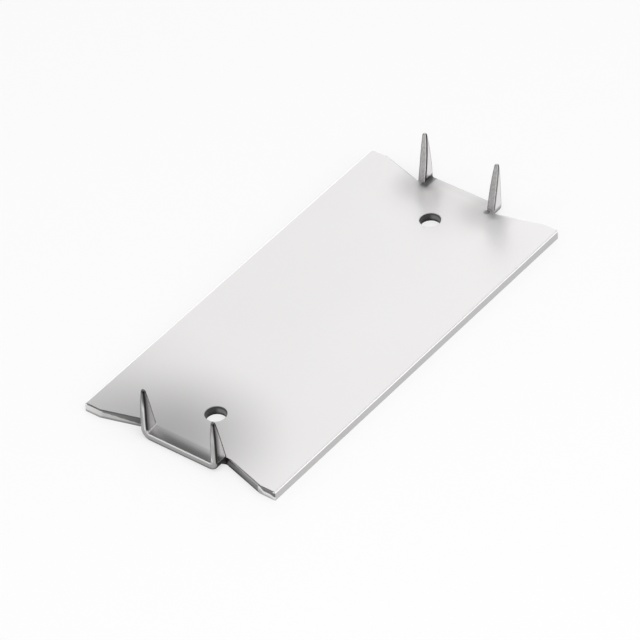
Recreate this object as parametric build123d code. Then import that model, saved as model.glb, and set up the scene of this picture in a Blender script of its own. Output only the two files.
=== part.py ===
"""Nail protector plate: one piece of sheet steel, stamped and folded.

The flat plate is nailed over the edge of a stud. Slanted cuts in each end free two pointed
prongs, which are folded straight up. Between the two prongs the end of the plate is a tab,
whose upper face is rolled down a little towards its end.

Millimetres, +Z up. The plate lies on its back with the prongs up. X runs along its length, and
the origin is the middle of its underside.
"""
import os
from math import acos, asin, atan2, cos, degrees, hypot, pi, sin

from build123d import *

# Sheet
plate_length = 76.2
plate_width = 38.1
sheet_thickness = 1.6

# Slanted cuts in the ends
corner_land = 3.05         # straight end line left beside each corner
notch_depth = 2.4          # from the end line to the root of the notch
prong_tip_width = 0.45     # width of a prong at its point

# Folded prongs
prong_span = 15.3          # over the outer faces of a pair of prongs
prong_thickness = 1.3      # at the foot, where the fold has drawn the sheet thinner
bend_radius = 0.2          # inside of the fold
neutral_share = 0.4        # place of the neutral line in a fold, as a share of the thickness
runout_radius = 0.9        # hollow where the fold runs out into the plate
point_radius = 0.36        # point of a prong, seen from the end of the plate
near_left_lean = -0.4      # how far a prong's point leans out; near is -X and left is +Y
near_right_lean = 0.3
far_left_lean = 0.4
far_right_lean = 0.2

# Nail holes on the centre line
hole_diameter = 3.5
hole_spacing = 57.15

# Edges
near_corner_radius = 0.2   # corners of the plate at -X, seen from above
far_corner_radius = 0.5
edge_radius = 0.25         # upper edge along the sides, lands and cuts
rim_radius = 0.15          # upper rim of a nail hole
end_radius = 0.3           # all round the end face of a tab and its prongs
tab_fall = 0.25            # drop of a tab's upper face
tab_fall_length = 2.3      # length of that drop, up to the end line

half_length = plate_length / 2
half_width = plate_width / 2
prong_outer = prong_span / 2
prong_inner = prong_outer - prong_thickness
fold_start = prong_inner - bend_radius
fold_top = sheet_thickness + bend_radius
fold_root = prong_outer - fold_top
land_start = half_width - corner_land
notch_x = half_length - notch_depth

# A prong is as long as the cut that frees it, less what the fold takes up
fold_length = pi / 2 * (bend_radius + neutral_share * sheet_thickness)
prong_top = fold_top + land_start - fold_start - fold_length

tolerance = 0.01


def round_corners(sheet, end, radius):
    corners = [
        edge for edge in sheet.edges().filter_by(Axis.Z)
        if abs(edge.center().X - end) < tolerance
        and abs(edge.center().Y) > half_width - tolerance
    ]
    return fillet(corners, radius)


def flat_sheet():
    """The sheet without its prongs: full width, a tab at each end, notches beside the tabs."""
    quarter = [
        (half_length, fold_root),
        (notch_x, fold_root),
        (notch_x, prong_outer),
        (half_length, land_start),
        (half_length, half_width),
    ]
    right = [(x, -y) for x, y in reversed(quarter)] + quarter
    left = [(-x, -y) for x, y in right]
    sheet = extrude(make_face(Polyline(*right, *left, close=True)), sheet_thickness)
    sheet = round_corners(sheet, -half_length, near_corner_radius)
    return round_corners(sheet, half_length, far_corner_radius)


def round_upper_edge(sheet):
    """Round the upper edge outside the prongs: sides, corners, lands and slanted cuts."""
    upper = sheet.edges().filter_by_position(
        Axis.Z, sheet_thickness - tolerance, sheet_thickness + tolerance)
    outside = [edge for edge in upper if abs(edge.center().Y) > prong_outer]
    return fillet(outside, edge_radius)


def round_point_touch(from_y, from_z, side):
    """Where a line from outside touches the round point, both measured from its centre."""
    turn = acos(point_radius / hypot(from_y, from_z))
    angle = atan2(from_z, from_y) + side * turn
    return point_radius * cos(angle), point_radius * sin(angle)


def prong_section(lean):
    """Fold and blade seen from the end, on the +Y side. The blade thins to a round point."""
    point_y = (prong_inner + prong_outer) / 2 + lean
    shoulder = prong_top - point_radius
    knee = (2 * fold_top + shoulder) / 3
    waist = (fold_top + 2 * shoulder) / 3
    waist_outer = prong_outer + lean / 2
    waist_inner = prong_inner + lean / 2
    outer_y, outer_z = round_point_touch(waist_outer - point_y, waist - shoulder, 1)
    inner_y, inner_z = round_point_touch(waist_inner - point_y, waist - shoulder, -1)
    bend_middle = bend_radius * sin(pi / 4)
    outline = [
        Line((0, fold_root, 0), (0, prong_outer, 0)),
        Line((0, prong_outer, 0), (0, prong_outer, fold_top)),
        Bezier(
            (0, prong_outer, fold_top),
            (0, prong_outer, knee),
            (0, waist_outer, waist),
            (0, point_y + outer_y, shoulder + outer_z)),
        ThreePointArc(
            (0, point_y + outer_y, shoulder + outer_z),
            (0, point_y, prong_top),
            (0, point_y + inner_y, shoulder + inner_z)),
        Bezier(
            (0, point_y + inner_y, shoulder + inner_z),
            (0, waist_inner, waist),
            (0, prong_inner, knee),
            (0, prong_inner, fold_top)),
        ThreePointArc(
            (0, prong_inner, fold_top),
            (0, fold_start + bend_middle, fold_top - bend_middle),
            (0, fold_start, sheet_thickness)),
        Line((0, fold_start, sheet_thickness), (0, fold_root, sheet_thickness)),
        Line((0, fold_root, sheet_thickness), (0, fold_root, 0)),
    ]
    return make_face(outline)


def prong_side():
    """A prong seen from the side: upright at the end line, slanted where it was cut."""
    outline = Polyline(
        (notch_x, 0, 0),
        (half_length, 0, 0),
        (half_length, 0, prong_top),
        (half_length - prong_tip_width, 0, prong_top),
        (notch_x, 0, fold_top),
        close=True)
    return extrude(make_face(outline), half_width, dir=(0, 1, 0))


def fold_relief():
    """What the outside of the fold rounds away, with a hollow where it runs out."""
    hollow = min(runout_radius, notch_depth / 2)
    start = notch_x + hollow
    past_end = half_length + hollow
    hollow_middle = hollow * sin(pi / 4)
    outline = [
        Line((start, fold_root, 0), (past_end, fold_root, 0)),
        Line((past_end, fold_root, 0), (past_end, fold_root, -hollow)),
        Line((past_end, fold_root, -hollow), (notch_x, fold_root, -hollow)),
        ThreePointArc(
            (notch_x, fold_root, -hollow),
            (start - hollow_middle, fold_root, hollow_middle - hollow),
            (start, fold_root, 0)),
    ]
    fold_axis = Axis((0, fold_root, fold_top), (1, 0, 0))
    return revolve(make_face(outline), fold_axis, 90)


def prong(lean):
    """The fold and prong at +X, +Y."""
    bar = extrude(prong_section(lean), half_length, dir=(1, 0, 0))
    return (bar & prong_side()) - fold_relief()


def all_prongs():
    """The four prongs, each made at +X, +Y and mirrored to its own place."""
    far_left = prong(far_left_lean)
    far_right = mirror(prong(far_right_lean), about=Plane.XZ)
    near_left = mirror(prong(near_left_lean), about=Plane.YZ)
    near_right = mirror(mirror(prong(near_right_lean), about=Plane.XZ), about=Plane.YZ)
    return [far_left, far_right, near_left, near_right]


def tab_falls():
    """Air over both tabs: the upper face falls along an arc, as wide as between the folds."""
    arc_radius = (tab_fall_length ** 2 + tab_fall ** 2) / (2 * tab_fall)
    start = half_length - tab_fall_length
    swing = degrees(asin(tab_fall_length / arc_radius))
    height = 2 * bend_radius + tab_fall
    mouth = Plane(
        origin=(start, 0, sheet_thickness + height / 2), x_dir=(0, 1, 0), z_dir=(1, 0, 0))
    section = fillet(Rectangle(2 * prong_inner, height).vertices(), bend_radius)
    arc_axis = Axis((start, 0, sheet_thickness - arc_radius), (0, 1, 0))
    cutter = revolve(mouth * section, arc_axis, 1.5 * swing)
    return [cutter, mirror(cutter, about=Plane.YZ)]


def nail_holes():
    drill = Cylinder(hole_diameter / 2, 3 * sheet_thickness)
    return [Pos(end * hole_spacing / 2, 0, 0) * drill for end in (1, -1)]


def round_hole_rims(plate):
    rims = [
        edge for edge in plate.edges().filter_by(GeomType.CIRCLE)
        if abs(edge.radius - hole_diameter / 2) < tolerance
        and abs(edge.arc_center.Y) < tolerance
        and edge.arc_center.Z > sheet_thickness - tolerance
    ]
    return fillet(rims, rim_radius)


def round_end_faces(plate):
    """Round the end faces, each of which runs up one prong, along the tab and up the other."""
    ends = [
        face for face in plate.faces().filter_by(GeomType.PLANE)
        if abs(face.center().X) > half_length - tolerance and abs(face.center().Y) < fold_start
    ]
    return fillet([edge for face in ends for edge in face.edges()], end_radius)


def protector_plate():
    plate = round_upper_edge(flat_sheet()) + all_prongs()
    plate = plate - tab_falls() - nail_holes()
    return round_end_faces(round_hole_rims(plate))


plate = protector_plate()
plate.label = "protector_plate"
os.makedirs("parts", exist_ok=True)
export_step(plate, "parts/protector_plate.step")
print("prong height above the sheet", round(prong_top - sheet_thickness, 2))
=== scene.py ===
import math

import bpy
from mathutils import Matrix, Vector

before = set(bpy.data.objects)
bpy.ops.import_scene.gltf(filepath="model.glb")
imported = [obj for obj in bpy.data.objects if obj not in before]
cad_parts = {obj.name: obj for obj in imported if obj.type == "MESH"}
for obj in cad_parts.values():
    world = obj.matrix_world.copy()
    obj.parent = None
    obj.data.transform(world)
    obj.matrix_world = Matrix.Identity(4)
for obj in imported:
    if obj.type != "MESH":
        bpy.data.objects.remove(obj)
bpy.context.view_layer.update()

MM = 0.001

# Camera, fitted to the plate's corners, holes and notches in the 640 pixel wide photograph
PICTURE_WIDTH = 640
FOCAL_PIXELS = 5788.3
SENSOR_MM = 36.0
CAMERA_AZIMUTH = 219.916
CAMERA_ELEVATION = 40.722
CAMERA_ROLL = -4.216
CAMERA_DISTANCE = 932.17 * MM
CAMERA_TARGET = Vector((0.044, 1.145, 0)) * MM
CLIP_START = 0.01
CLIP_END = 100

# Studio. Lengths are in metres and angles in degrees.
FLOOR_HALF_SIZE = 6.0
FLOOR_COLOUR = (0.95, 0.95, 0.95, 1)
FLOOR_GLOW = 0.6
SKY_BASE = 0.10
HORIZON = 0.95
HORIZON_TOP = 0.45
# azimuth, elevation, half angle of the full part, half angle where it ends, brightness added
SKY_PANELS = (
    (46, 24, 19, 33, 1.08),
    (-52, 14, 12, 26, 0.6),
    (149, 17, 10, 24, 0.5),
    (250, 40, 40, 75, 0.55),
    (0, 56, 8, 24, 0.75),
    (140, 38, 7, 17, 1.1),
)
KEY_AZIMUTH = 240
KEY_ELEVATION = 66
KEY_DISTANCE = 0.7
KEY_SIZE = 0.5
KEY_POWER = 2.2

# The plate in millimetres, as in the part's source
HALF_LENGTH = 38.1
HALF_WIDTH = 19.05
SHEET = 1.6
NOTCH_X = 35.7
LAND_START = 16.0
HOLE_X = 28.575
HOLE_RADIUS = 1.75
PRONG_OUTER = 7.65
PRONG_MIDDLE = 7.0
FOLD_ROOT = 5.85
FOLD_START = 6.15
FOLD_TOP = 1.8
SLANT_START = 35.29     # where the slanted edge of a prong would meet z = 0
SLANT_SLOPE = 0.2286    # how far that edge runs outwards for each millimetre up

# Noises: spots to a millimetre along X, Y and Z, and their detail
CLOUDS = (0.05, 0.06, 0.05), 4.0
GRAIN = (0.9, 14.0, 9.0), 3.0
SPECKS = (6.0, 6.0, 6.0), 4.0
DRAG = (1.6, 1.6, 0.12), 3.0
TORN = (5.0, 5.0, 7.0), 5.0
STREAKS = (9.0, 9.0, 0.35), 2.0
RIPPLE_X = (0.045, 0.07, 0.05), 1.0
RIPPLE_Y = (0.06, 0.05, 0.08), 1.0

# Tone and roughness of each part. Tone is the share of light that the metal reflects.
FACE_TONE, FACE_ROUGH = 0.85, 0.33
SIDE_TONE, SIDE_ROUGH = 0.56, 0.42
BLADE_TONE, PRONG_ROUGH = 0.78, 0.28
BLADE_EDGE_TONE = 0.52
# Painted shade for the hollows on the outside of the folds.
FOLD_SHADE_TONE, FOLD_ROUGH = 0.05, 0.8
SHEARED_ROUGH, TORN_ROUGH = 0.32, 0.50
# The bores' lit tone is painted light on their far wall.
BORE_TONE_LIT, BORE_ROUGH = 0.20, 0.40
# Painted shade on the lip of the near right land.
DENT_LIP_SHADE = 0.17
GREEN, BLUE = 0.986, 0.984     # the tone's green and blue, as shares of its red

# What the marks multiply the tone by. All of them are painted light or shade.
NEAR_SHADE = 0.60
FAR_SHADE = 0.88
FOOT_LINE_SHADE = 0.55
LOWER_EDGE_SHADE = 0.3
NEAR_TAB_SHADE = 0.85
HOLE_RIM_SHADE = 0.45
BLADE_SHADE = 0.28
LIT_LINE = 1.45
SHADED_LINE = 0.6
INNER_HIGHLIGHT = 1.55
OUTER_SHADE = 0.72
UPPER_SHADE = 0.45
RIGHT_HIGHLIGHT = 1.35
CREASE_SHADE = 0.42
BEND_SHADE = 0.35
ROOT_SHADE = 0.5
FOOT_SHADE = 0.9
AROUND_FOOT_LIGHT = 1.08
SCUFF_LIGHT = 1.2
FAR_TAB_SHADE = 0.85
POINT_SHADE = 0.4

# What is added to the roughness in front of the far prongs
FOOT_ROUGH = 0.25
SCUFF_ROUGH = 0.22

# The way the rougher streaks with painted light run from the feet of the far prongs
SCUFF_X, SCUFF_Y = -0.766, -0.643

# How far the normals tilt
NEAR_DIP = 0.09
FAR_DIP = 0.01
TAB_DIP = 0.06
RIPPLE = 0.02

# Bump heights in millimetres
GRAIN_HEIGHT = 0.0006
SPECK_HEIGHT = 0.0010
TORN_HEIGHT = 0.05
DRAG_HEIGHT = 0.03
STREAK_HEIGHT = 0.012

BEVEL_RADIUS = 0.42 * MM
BEVEL_SAMPLES = 8


def toward(azimuth, elevation):
    a, e = math.radians(azimuth), math.radians(elevation)
    return Vector((math.cos(e) * math.cos(a), math.cos(e) * math.sin(a), math.sin(e)))


class Graph:
    """Short names for the nodes that the materials are put together from."""

    def __init__(self, tree):
        self.nodes, self.links = tree.nodes, tree.links

    def put(self, socket, value):
        if isinstance(value, bpy.types.NodeSocket):
            self.links.new(value, socket)
        else:
            socket.default_value = value

    def math(self, operation, *values):
        node = self.nodes.new("ShaderNodeMath")
        node.operation = operation
        for socket, value in zip(node.inputs, values):
            self.put(socket, value)
        return node.outputs[0]

    def times(self, first, *others):
        for other in others:
            first = self.math("MULTIPLY", first, other)
        return first

    def plus(self, first, *others):
        for other in others:
            first = self.math("ADD", first, other)
        return first

    def ramp(self, value, start, end, low=0.0, high=1.0):
        """Smooth step from low at start to high at end."""
        node = self.nodes.new("ShaderNodeMapRange")
        node.interpolation_type = "SMOOTHSTEP"
        flip = start > end
        for name, number in (
                ("From Min", min(start, end)), ("From Max", max(start, end)),
                ("To Min", high if flip else low), ("To Max", low if flip else high)):
            node.inputs[name].default_value = number
        self.put(node.inputs["Value"], value)
        return node.outputs["Result"]

    def mix(self, share, first, second):
        node = self.nodes.new("ShaderNodeMix")
        for name, value in (("Factor", share), ("A", first), ("B", second)):
            self.put(node.inputs[name], value)
        return node.outputs["Result"]

    def vector(self, operation, *values):
        node = self.nodes.new("ShaderNodeVectorMath")
        node.operation = operation
        for socket, value in zip(node.inputs, values):
            self.put(socket, value)
        return node.outputs["Value" if operation in ("DOT_PRODUCT", "LENGTH") else "Vector"]

    def split(self, vector):
        node = self.nodes.new("ShaderNodeSeparateXYZ")
        self.put(node.inputs[0], vector)
        return node.outputs[0], node.outputs[1], node.outputs[2]

    def join(self, x, y, z):
        node = self.nodes.new("ShaderNodeCombineXYZ")
        for socket, value in zip(node.inputs, (x, y, z)):
            self.put(socket, value)
        return node.outputs[0]

    def distance(self, x, y):
        return self.vector("LENGTH", self.join(x, y, 0.0))


def make_camera():
    roll = math.radians(CAMERA_ROLL)
    back = toward(CAMERA_AZIMUTH, CAMERA_ELEVATION)
    level = Vector((0, 0, 1)).cross(back).normalized()
    upright = back.cross(level)
    right = level * math.cos(roll) + upright * math.sin(roll)
    up = upright * math.cos(roll) - level * math.sin(roll)
    data = bpy.data.cameras.new("camera")
    data.sensor_width = SENSOR_MM
    data.lens = FOCAL_PIXELS / PICTURE_WIDTH * SENSOR_MM
    data.clip_start = CLIP_START
    data.clip_end = CLIP_END
    camera = bpy.data.objects.new("camera", data)
    bpy.context.scene.collection.objects.link(camera)
    turn = Matrix((right, up, back)).transposed().to_4x4()
    camera.matrix_world = Matrix.Translation(CAMERA_TARGET + back * CAMERA_DISTANCE) @ turn
    bpy.context.scene.camera = camera


def make_floor():
    """White floor, which glows where the camera or a reflection sees it, and keeps a shadow."""
    size = FLOOR_HALF_SIZE
    mesh = bpy.data.meshes.new("floor")
    mesh.from_pydata(
        [(-size, -size, 0), (size, -size, 0), (size, size, 0), (-size, size, 0)],
        [], [(0, 1, 2, 3)])
    floor = bpy.data.objects.new("floor", mesh)
    bpy.context.scene.collection.objects.link(floor)
    material = bpy.data.materials.new("floor_white")
    material.use_nodes = True
    g = Graph(material.node_tree)
    g.nodes.clear()
    diffuse = g.nodes.new("ShaderNodeBsdfDiffuse")
    diffuse.inputs["Color"].default_value = FLOOR_COLOUR
    glow = g.nodes.new("ShaderNodeEmission")
    glow.inputs["Strength"].default_value = 1.0
    path = g.nodes.new("ShaderNodeLightPath").outputs
    seen = g.math("MAXIMUM", path["Is Camera Ray"], path["Is Glossy Ray"])
    mix = g.nodes.new("ShaderNodeMixShader")
    out = g.nodes.new("ShaderNodeOutputMaterial")
    g.put(mix.inputs[0], g.times(seen, FLOOR_GLOW))
    g.put(mix.inputs[1], diffuse.outputs[0])
    g.put(mix.inputs[2], glow.outputs[0])
    g.put(out.inputs["Surface"], mix.outputs[0])
    mesh.materials.append(material)


def make_world():
    """Dim sky, bright along the horizon, with soft panels that the steel reflects."""
    world = bpy.data.worlds.new("studio")
    bpy.context.scene.world = world
    world.use_nodes = True
    g = Graph(world.node_tree)
    back = g.nodes["Background"]
    back.inputs["Color"].default_value = (1, 1, 1, 1)
    where = g.nodes.new("ShaderNodeTexCoord").outputs["Generated"]
    panels = []
    for azimuth, elevation, inner, outer, brightness in SKY_PANELS:
        nearness = g.vector("DOT_PRODUCT", where, toward(azimuth, elevation))
        panels.append(g.ramp(
            nearness, math.cos(math.radians(outer)), math.cos(math.radians(inner)),
            0.0, brightness))
    horizon = g.ramp(g.split(where)[2], 0.0, HORIZON_TOP, SKY_BASE + HORIZON, SKY_BASE)
    g.put(back.inputs["Strength"], g.plus(*panels, horizon))


def make_key_lamp():
    """Soft lamp above the camera's side. Reflections don't show it."""
    data = bpy.data.lights.new("key", "AREA")
    data.shape = "RECTANGLE"
    data.size, data.size_y = KEY_SIZE, KEY_SIZE
    data.energy = KEY_POWER
    lamp = bpy.data.objects.new("key", data)
    way = toward(KEY_AZIMUTH, KEY_ELEVATION)
    turn = way.to_track_quat("Z", "Y").to_matrix().to_4x4()
    lamp.matrix_world = Matrix.Translation(way * KEY_DISTANCE) @ turn
    lamp.visible_glossy = False
    bpy.context.scene.collection.objects.link(lamp)


class Steel(Graph):
    """The steel's nodes. Lengths are in millimetres, near is -X and left is +Y.

    A mask is 1 on its part of the surface and 0 elsewhere. It goes by where a point lies on
    the part and which way it faces there, so that it stays in place from any side.
    """

    def __init__(self, tree):
        super().__init__(tree)
        place = self.nodes.new("ShaderNodeTexCoord").outputs["Object"]
        self.where = self.vector("SCALE", place)
        self.where.node.inputs["Scale"].default_value = 1 / MM
        self.x, self.y, self.z = self.split(self.where)
        self.along, self.across = self.absolute(self.x), self.absolute(self.y)
        self.normal = self.nodes.new("ShaderNodeNewGeometry").outputs["Normal"]
        self.normal_x, self.normal_y, self.normal_z = self.split(self.normal)
        self.endwise, self.sidewise = self.absolute(self.normal_x), self.absolute(self.normal_y)
        self.level = self.absolute(self.normal_z)
        self.outward = self.times(self.normal_y, self.math("SIGN", self.y))
        self.near, self.far = self.ramp(self.x, 1, -1), self.ramp(self.x, -1, 1)
        self.left, self.right = self.ramp(self.y, -1, 1), self.ramp(self.y, 1, -1)

        self.face = self.ramp(self.level, 0.80, 0.97)
        self.wall = self.ramp(self.level, 0.60, 0.25)
        self.in_sheet = self.ramp(self.z, SHEET + 0.15, SHEET + 0.02)
        self.raised = self.ramp(self.z, SHEET + 0.1, SHEET + 0.5)
        self.slant = self.times(
            self.wall, self.in_sheet,
            self.ramp(self.across, PRONG_OUTER - 0.15, PRONG_OUTER + 0.15),
            self.ramp(self.along, HALF_LENGTH - 0.04, HALF_LENGTH - 0.10),
            self.ramp(self.across, LAND_START + 0.3, LAND_START - 0.1))
        self.side = self.times(
            self.wall, self.ramp(self.across, HALF_WIDTH - 0.35, HALF_WIDTH - 0.10))
        self.end = self.times(
            self.wall, self.ramp(self.along, HALF_LENGTH - 0.20, HALF_LENGTH - 0.05))
        self.blade_face = self.times(self.raised, self.ramp(self.sidewise, 0.55, 0.85))
        self.blade_edge = self.times(self.raised, self.ramp(self.endwise, 0.7, 0.9))

    def absolute(self, value):
        return self.math("ABSOLUTE", value)

    def noise(self, stretch, detail):
        """Noise from 0 to 1."""
        node = self.nodes.new("ShaderNodeTexNoise")
        node.inputs["Scale"].default_value = 1.0
        node.inputs["Detail"].default_value = detail
        self.put(node.inputs["Vector"], self.vector("MULTIPLY", self.where, stretch))
        return node.outputs["Fac"]

    def sway(self, noise, amount):
        """The noise about zero, times the amount."""
        return self.times(self.plus(noise, -0.5), amount)

    def paint(self, mask, tone, rough=None):
        """Give the masked part a tone, and a roughness where one is given."""
        self.tone = self.mix(mask, self.tone, tone)
        if rough is not None:
            self.rough = self.mix(mask, self.rough, rough)

    def tint(self, mask, share):
        """Multiply the tone of the masked part by the share."""
        self.tone = self.times(self.tone, self.mix(mask, 1.0, share))

    def rolled_faces(self):
        """Faint grain along the plate, cloudy patches, small pits, painted shade at both ends.
        """
        clouds = self.noise(*CLOUDS)
        self.grain = self.noise(*GRAIN)
        self.specks = self.noise(*SPECKS)
        self.tone = self.plus(
            FACE_TONE, self.sway(clouds, 0.05), self.sway(self.grain, 0.02))
        # A little lighter towards the right.
        self.tone = self.times(self.tone, self.ramp(self.y, 22.0, -22.0, 0.985, 1.05))
        self.rough = self.plus(
            FACE_ROUGH, self.sway(clouds, 0.10), self.sway(self.specks, 0.05))
        # Painted shade towards the near end, and fainter painted shade between the far prongs.
        from_near_shade = self.distance(
            self.plus(self.x, 36.5), self.times(self.plus(self.y, -1.8), 0.9))
        self.tint(self.ramp(from_near_shade, 19.5, 1.0), NEAR_SHADE)
        self.tint(
            self.times(self.ramp(self.x, 25.0, 35.0), self.ramp(self.across, 13.0, 5.0)),
            FAR_SHADE)

    def slanted_cuts(self):
        """A shiny sheared band below the upper edge, and a dull torn band under it."""
        self.drag = self.noise(*DRAG)
        break_z = self.plus(
            0.45, self.times(self.plus(self.across, -9.0), 0.125), self.sway(self.drag, 0.35))
        above_break = self.math("SUBTRACT", self.z, break_z)
        self.sheared = self.ramp(above_break, -0.06, 0.12)
        left_cut = self.mix(
            self.sheared, self.ramp(self.across, 8.0, 13.0, 0.42, 0.56),
            self.ramp(self.across, 8.0, 14.0, 0.11, 0.19))
        # Painted shade: the right cuts are darker, most of all next to their prong.
        right_cut = self.times(
            self.ramp(self.across, 8.0, 15.0, 0.07, 0.30), self.mix(self.sheared, 0.8, 1.0))
        self.paint(
            self.slant, self.mix(self.left, right_cut, left_cut),
            self.mix(self.sheared, TORN_ROUGH, SHEARED_ROUGH))

    def sides_and_ends(self):
        """Long sides, lands and the ends of the tabs."""
        self.paint(self.side, SIDE_TONE, SIDE_ROUGH)
        self.paint(self.end, self.ramp(self.across, 10.0, 18.5, 0.37, 0.70))
        # Painted shade along the bottom of the ends and the cuts.
        cut = self.math("MAXIMUM", self.end, self.slant)
        self.tint(self.times(cut, self.ramp(self.z, 0.52, 0.30)), FOOT_LINE_SHADE)

    def edges(self):
        """Roundings: painted shade over the near cuts and below, painted highlight at sides,
        lands and tabs.
        """
        # Painted shade on the upper roundings over the near cuts and lands.
        brow_shade = self.times(
            self.ramp(self.level, 0.99, 0.95), self.ramp(self.level, 0.30, 0.45),
            self.ramp(self.z, 1.1, 1.3),
            self.ramp(self.across, PRONG_OUTER + 0.05, PRONG_OUTER + 0.25),
            self.ramp(self.across, HALF_WIDTH - 0.35, HALF_WIDTH - 0.55),
            self.ramp(self.x, 0.3 - NOTCH_X, -NOTCH_X))
        self.tint(brow_shade, self.math(
            "MINIMUM", self.ramp(self.y, -1.0, 1.0, 0.75, 0.35),
            self.ramp(self.y, 0.8 - LAND_START, -LAND_START, 1.0, 0.30)))
        # Painted shade on roundings and surfaces that face down, near the bottom and under the
        # folds.
        under_fold = self.times(
            self.ramp(self.across, 5.8, 6.4), self.ramp(self.across, 8.0, 7.8))
        lower_edge_shade = self.times(
            self.ramp(self.normal_z, -0.1, -0.4), self.ramp(self.normal_z, -0.99, -0.95),
            self.math("MAXIMUM", self.ramp(self.z, 0.5, 0.35), under_fold))
        self.tint(lower_edge_shade, LOWER_EDGE_SHADE)
        on_side = self.ramp(self.across, HALF_WIDTH - 0.45, HALF_WIDTH - 0.30)
        on_tab = self.times(
            self.ramp(self.along, HALF_LENGTH - 0.50, HALF_LENGTH - 0.35),
            self.ramp(self.across, 6.3, 6.1))
        # Painted highlight on the upper roundings of the long sides and the tabs, fainter at
        # the tabs.
        lip = self.times(
            self.ramp(self.level, 0.985, 0.93), self.ramp(self.level, 0.12, 0.35),
            self.ramp(self.z, 0.9, 1.1), self.in_sheet,
            self.math("MAXIMUM", on_side, on_tab))
        self.paint(lip, self.ramp(self.across, 8.0, 16.0, 0.55, 1.0))
        # Painted shade on the top of the near tab, towards its end.
        self.tint(
            self.times(
                self.ramp(self.x, -36.2, -37.9), self.ramp(self.across, 6.4, 5.9), self.face),
            NEAR_TAB_SHADE)

    def dent_light_and_shade(self):
        """Painted light below and painted shade on the lip, at the end of the near right land,
        for a dent.
        """
        dent = self.times(self.end, self.near, self.ramp(self.y, -15.6, -15.9))
        dent_top = self.plus(
            0.85, self.ramp(self.y, -16.9, -16.0, 0.0, 0.55),
            self.ramp(self.y, -18.0, -18.9, 0.0, -0.25))
        above = self.math("SUBTRACT", self.z, dent_top)
        # Painted light and shade that stand in for a dent.
        self.paint(dent, self.mix(
            self.ramp(above, 0.0, 0.12), self.ramp(above, -0.75, -0.2, 0.42, 0.78),
            DENT_LIP_SHADE))

    def holes(self):
        """Painted shade in the bores, a patch of painted light on the far wall, painted shade
        on the near rim.
        """
        from_hole = self.distance(self.plus(self.along, -HOLE_X), self.y)
        # Painted shade on the rounding around the near hole.
        rim = self.times(
            self.ramp(from_hole, HOLE_RADIUS + 0.25, HOLE_RADIUS + 0.13),
            self.ramp(self.level, 0.99, 0.93), self.near)
        self.tint(rim, HOLE_RIM_SHADE)
        # Painted shade in the bores, with a patch of painted light on their far wall.
        bore = self.times(
            self.ramp(from_hole, HOLE_RADIUS + 0.20, HOLE_RADIUS + 0.08),
            self.ramp(self.normal_z, 0.75, 0.35))
        lit = self.times(
            self.ramp(self.normal_x, -0.72, -0.97), self.ramp(self.z, 0.1, 0.7),
            self.ramp(self.z, 1.45, 1.0))
        self.paint(
            bore, self.mix(lit, self.ramp(self.z, 0.0, 1.2, 0.03, 0.07), BORE_TONE_LIT),
            BORE_ROUGH)

    def blades(self):
        """Faces and edges of the prongs, with painted shade and painted highlight lines where
        they meet.
        """
        self.paint(self.blade_face, BLADE_TONE)
        self.rough = self.mix(self.raised, self.rough, PRONG_ROUGH)
        # Painted shade on the near faces towards their end.
        end_half = self.ramp(self.along, HALF_LENGTH - 1.2, HALF_LENGTH - 0.15)
        self.tint(self.times(end_half, self.near, self.blade_face), BLADE_SHADE)
        self.paint(self.blade_edge, BLADE_EDGE_TONE)

        bevel = self.nodes.new("ShaderNodeBevel")
        bevel.samples = BEVEL_SAMPLES
        bevel.inputs["Radius"].default_value = BEVEL_RADIUS
        rounded = bevel.outputs[0]
        turned = self.vector("DOT_PRODUCT", rounded, self.normal)
        arris = self.times(self.ramp(turned, 0.995, 0.93), self.raised)
        to_left = self.ramp(self.split(rounded)[1], -0.35, 0.25)
        on_face = self.ramp(self.sidewise, 0.3, 0.6)
        on_edge = self.ramp(self.sidewise, 0.35, 0.15)
        rounding = self.times(
            self.ramp(self.times(self.endwise, self.sidewise), 0.12, 0.38), self.raised)
        # Painted shade lines along the roundings of the faces, darker on those facing right.
        face_shade_line = self.math("MAXIMUM", self.times(arris, on_face), rounding)
        self.tint(face_shade_line, self.mix(to_left, 0.10, 0.6))
        # Painted highlight on the edge side of roundings facing right, painted shade on those
        # facing left.
        self.tint(self.times(arris, on_edge, self.ramp(to_left, 0.6, 0.3)), LIT_LINE)
        self.tint(self.times(arris, on_edge, self.ramp(to_left, 0.4, 0.7)), SHADED_LINE)

    def right_hand_faces(self):
        """Painted lines along the slant of each right face; near ones also get painted light.
        """
        facing_right = self.times(self.blade_face, self.ramp(self.normal_y, -0.3, -0.6))
        from_slant = self.plus(self.along, self.times(self.z, -SLANT_SLOPE), -SLANT_START)
        from_end = self.math("SUBTRACT", HALF_LENGTH, self.along)
        # Painted shade along the slant of the far blades.
        self.tint(
            self.times(facing_right, self.far, self.ramp(from_slant, 0.50, 0.30)),
            self.mix(self.left, 0.30, 0.08))
        # Along the slant of the near blades: painted shade on the right one, a painted
        # highlight on the left.
        self.tint(
            self.times(facing_right, self.near, self.ramp(from_slant, 0.22, 0.12)),
            self.mix(self.left, 0.45, 1.5))
        # Painted light on the near faces away from their end.
        self.tint(
            self.times(facing_right, self.near, self.ramp(from_end, 0.4, 2.0)),
            self.mix(self.left, 1.5, 1.3))

    def near_end_face(self):
        """The end faces of the near prongs, with painted light and shade, also in bands along
        the bends.
        """
        strip = self.times(self.blade_edge, self.near)
        # Painted shade towards the top of the end faces.
        self.tint(strip, self.ramp(self.z, 9.8, 6.5, 0.55, 0.85))
        # Painted highlight along the inner side of the near left end face.
        self.tint(
            self.times(
                strip, self.left, self.ramp(self.z, 8.2, 6.0),
                self.ramp(self.across, 6.95, 6.72), self.ramp(self.across, 6.30, 6.45)),
            INNER_HIGHLIGHT)
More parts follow.
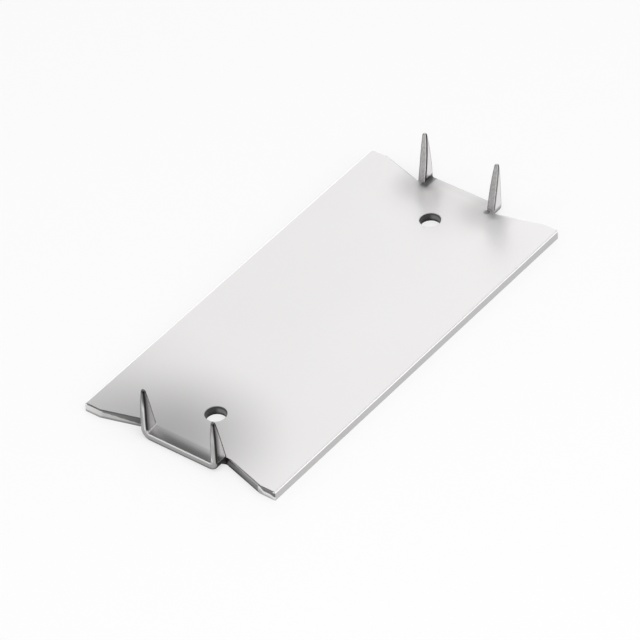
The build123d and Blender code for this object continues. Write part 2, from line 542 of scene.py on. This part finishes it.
        # Painted shade along its outer side, above the bend.
        self.tint(
            self.times(
                strip, self.left, self.ramp(self.across, 6.95, 7.2),
                self.ramp(self.z, 2.0, 4.0)),
            OUTER_SHADE)
        # Bands of painted highlight and shade that follow the bend, from inner to outer.
        band = self.times(
            self.near, self.ramp(self.endwise, 0.2, 0.4),
            self.ramp(self.along, HALF_LENGTH - 0.35, HALF_LENGTH - 0.20),
            self.ramp(self.across, PRONG_OUTER + 0.35, PRONG_OUTER + 0.10),
            self.ramp(self.z, 3.2, 2.0))
        from_bend = self.distance(
            self.math("MAXIMUM", self.plus(self.across, -FOLD_START), 0.0),
            self.math("MAXIMUM", self.math("SUBTRACT", FOLD_TOP, self.z), 0.0))
        self.tint(band, self.times(
            self.ramp(from_bend, 0.50, 0.75, 1.35, 1.0),
            self.ramp(from_bend, 1.05, 1.45, 1.0, 0.72),
            self.ramp(from_bend, 1.50, 1.75, 1.0, 0.55)))
        # Painted shade on the upper inner part of the near left end face.
        self.tint(
            self.times(
                strip, self.left, self.ramp(self.z, 6.0, 8.5),
                self.ramp(self.across, 6.9, 6.6)),
            UPPER_SHADE)
        # Painted highlight along the inner side of the near right end face, low down.
        self.tint(
            self.times(
                strip, self.right, self.ramp(self.z, 6.0, 2.5),
                self.ramp(self.across, 6.85, 6.65)),
            RIGHT_HIGHLIGHT)

    def drag_marks(self):
        """Upright streaks on the sheared edges of the prongs."""
        self.streaks = self.noise(*STREAKS)
        self.tint(self.blade_edge, self.ramp(self.streaks, 0.3, 0.7, 0.82, 1.16))

    def far_feet(self):
        """Painted shade at the far prongs' creases, root and feet, painted light and more
        roughness before them.
        """
        at_far_left = self.times(self.ramp(self.x, 34.4, 35.4), self.left)
        # Painted shade in the crease and on the bend of the far left prong.
        self.tint(
            self.times(
                at_far_left, self.ramp(self.z, 2.5, 2.1), self.ramp(self.across, 5.2, 5.8),
                self.ramp(self.across, 7.0, 6.6), self.ramp(self.normal_x, -0.5, -0.3)),
            CREASE_SHADE)
        self.tint(
            self.times(
                at_far_left, self.ramp(self.outward, 0.0, -0.2), self.ramp(self.z, 2.3, 2.0),
                self.ramp(self.across, 5.9, 6.1), self.ramp(self.level, 0.99, 0.95)),
            BEND_SHADE)
        # Painted shade at the root of the far right prong.
        from_root_shade = self.distance(self.plus(self.x, -35.25), self.plus(self.y, 6.6))
        self.tint(self.times(self.ramp(from_root_shade, 0.7, 0.3), self.face), ROOT_SHADE)
        # Painted shade close to the feet, painted light a little further out.
        from_foot = self.distance(self.plus(self.x, -35.2), self.plus(self.across, -6.8))
        self.tint(self.times(self.ramp(from_foot, 1.8, 0.4), self.face), FOOT_SHADE)
        self.tint(self.times(self.ramp(from_foot, 6.5, 2.5), self.face), AROUND_FOOT_LIGHT)

        # A rougher streak with painted light on the sheet before each far prong.
        foot_x = self.plus(self.x, -36.5)
        foot_y = self.math(
            "SUBTRACT", self.y, self.times(self.math("SIGN", self.y), PRONG_MIDDLE))
        before = self.plus(self.times(foot_x, SCUFF_X), self.times(foot_y, SCUFF_Y))
        beside = self.absolute(self.plus(
            self.times(foot_x, -SCUFF_Y), self.times(foot_y, SCUFF_X),
            self.mix(self.left, -0.1, -0.6)))
        scuff_and_painted_light = self.times(
            self.far, self.face, self.ramp(beside, 2.4, 0.2), self.ramp(before, 2.0, 3.6),
            self.ramp(before, 11.0, 6.0))
        self.tint(scuff_and_painted_light, SCUFF_LIGHT)
        # Painted shade on the far tab, towards its end.
        self.tint(
            self.times(
                self.ramp(self.x, 35.5, 37.5), self.ramp(self.across, 6.3, 5.0), self.face),
            FAR_TAB_SHADE)
        self.rough = self.plus(
            self.rough, self.times(self.ramp(from_foot, 6.5, 1.5), self.face, FOOT_ROUGH),
            self.times(scuff_and_painted_light, SCUFF_ROUGH))

    def points_and_folds(self):
        """Painted shade on the points, and in the hollows outside the folds. Far ones are
        fainter.
        """
        # Painted shade on the points.
        self.tint(
            self.times(self.ramp(self.z, 9.4, 10.1), self.mix(self.near, 0.25, 1.0)), POINT_SHADE)
        # Painted shade in the hollows on the outside of the folds, fainter at the far end.
        fold = self.times(
            self.ramp(self.z, FOLD_TOP + 0.40, FOLD_TOP + 0.05),
            self.ramp(self.across, FOLD_ROOT - 0.15, FOLD_ROOT + 0.25),
            self.ramp(self.across, PRONG_OUTER + 0.75, PRONG_OUTER + 0.35),
            self.ramp(self.normal_z, 0.5, 0.2), self.ramp(self.outward, -0.3, -0.05),
            self.ramp(self.along, HALF_LENGTH - 0.08, HALF_LENGTH - 0.15),
            self.mix(self.near, 0.3, 1.0))
        self.paint(fold, FOLD_SHADE_TONE, FOLD_ROUGH)

    def dipped_normal(self):
        """The faces dip towards the tabs and the far prongs, and ripple slightly all over."""
        near_dip = self.times(
            self.ramp(self.x, -12.0, -42.0), self.ramp(self.y, -19.0, 19.0, 0.05, 1.15))
        tab_dip = self.times(
            self.ramp(self.x, -35.5, -38.0), self.ramp(self.across, 6.3, 5.3))
        far_dip = self.times(
            self.ramp(self.x, 24.0, 40.0), self.ramp(self.across, 15.0, 5.0))
        tilt_x = self.plus(
            self.times(near_dip, -NEAR_DIP), self.times(tab_dip, -TAB_DIP),
            self.times(far_dip, FAR_DIP), self.sway(self.noise(*RIPPLE_X), RIPPLE))
        tilt_y = self.sway(self.noise(*RIPPLE_Y), RIPPLE)
        tilt = self.join(
            self.times(tilt_x, self.face), self.times(tilt_y, self.face), 0.0)
        return self.vector("NORMALIZE", self.vector("ADD", self.normal, tilt))

    def fine_bump(self, normal):
        """Grain and pits on the faces, torn and dragged metal on the cuts."""
        torn_part = self.times(self.slant, self.math("SUBTRACT", 1.0, self.sheared))
        height = self.plus(
            self.times(self.grain, GRAIN_HEIGHT),
            self.times(self.specks, SPECK_HEIGHT),
            self.times(self.sway(self.noise(*TORN), TORN_HEIGHT), torn_part),
            self.times(self.drag, self.slant, DRAG_HEIGHT),
            self.times(self.streaks, self.blade_edge, STREAK_HEIGHT))
        bump = self.nodes.new("ShaderNodeBump")
        bump.inputs["Distance"].default_value = MM
        self.put(bump.inputs["Height"], height)
        self.put(bump.inputs["Normal"], normal)
        return bump.outputs[0]


def make_steel():
    material = bpy.data.materials.new("steel")
    material.use_nodes = True
    steel = Steel(material.node_tree)
    steel.rolled_faces()
    steel.slanted_cuts()
    steel.sides_and_ends()
    steel.edges()
    steel.dent_light_and_shade()
    steel.holes()
    steel.blades()
    steel.right_hand_faces()
    steel.near_end_face()
    steel.drag_marks()
    steel.far_feet()
    steel.points_and_folds()
    colour = steel.join(
        steel.tone, steel.times(steel.tone, GREEN), steel.times(steel.tone, BLUE))
    shader = steel.nodes["Principled BSDF"]
    shader.inputs["Metallic"].default_value = 1.0
    steel.put(shader.inputs["Base Color"], colour)
    steel.put(shader.inputs["Roughness"], steel.rough)
    steel.put(shader.inputs["Normal"], steel.fine_bump(steel.dipped_normal()))
    return material


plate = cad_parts["protector_plate"]
plate.data.materials.clear()
plate.data.materials.append(make_steel())
make_camera()
make_floor()
make_world()
make_key_lamp()

scene = bpy.context.scene
scene.view_settings.view_transform = "Standard"
